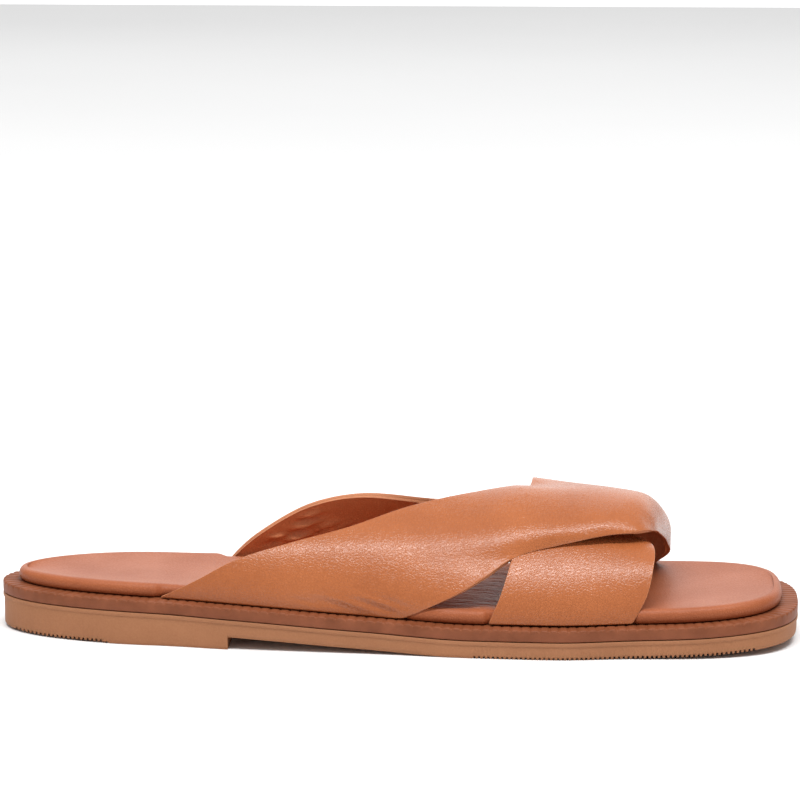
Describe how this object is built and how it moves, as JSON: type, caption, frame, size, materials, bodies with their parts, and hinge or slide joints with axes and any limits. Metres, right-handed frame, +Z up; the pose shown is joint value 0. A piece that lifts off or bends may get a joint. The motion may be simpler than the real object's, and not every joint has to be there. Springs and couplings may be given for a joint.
{
  "type": "mule sandal",
  "caption": "Flat open-back mule sandal for the left foot: two wide crossing leather straps over a padded footbed, on a welted rubber sole with a low heel block.",
  "frame": {"origin": "on the floor, under the middle of the sandal's bounding box", "axes": "+X from heel to toe, +Y towards the outer (lateral) side of the left foot, +Z up"},
  "size_m": [0.263, 0.0928, 0.048],
  "materials": {
    "sole_rubber": "matte caramel rubber",
    "welt_leather": "matte brown, notched",
    "footbed_leather": "satin tan leather over padding",
    "strap_leather": "satin tan leather with a fine grain"
  },
  "bodies": {
    "root": {"outsole": "sole_rubber", "welt": "welt_leather", "footbed": "footbed_leather", "upper": "strap_leather"}
  },
  "joints": []
}
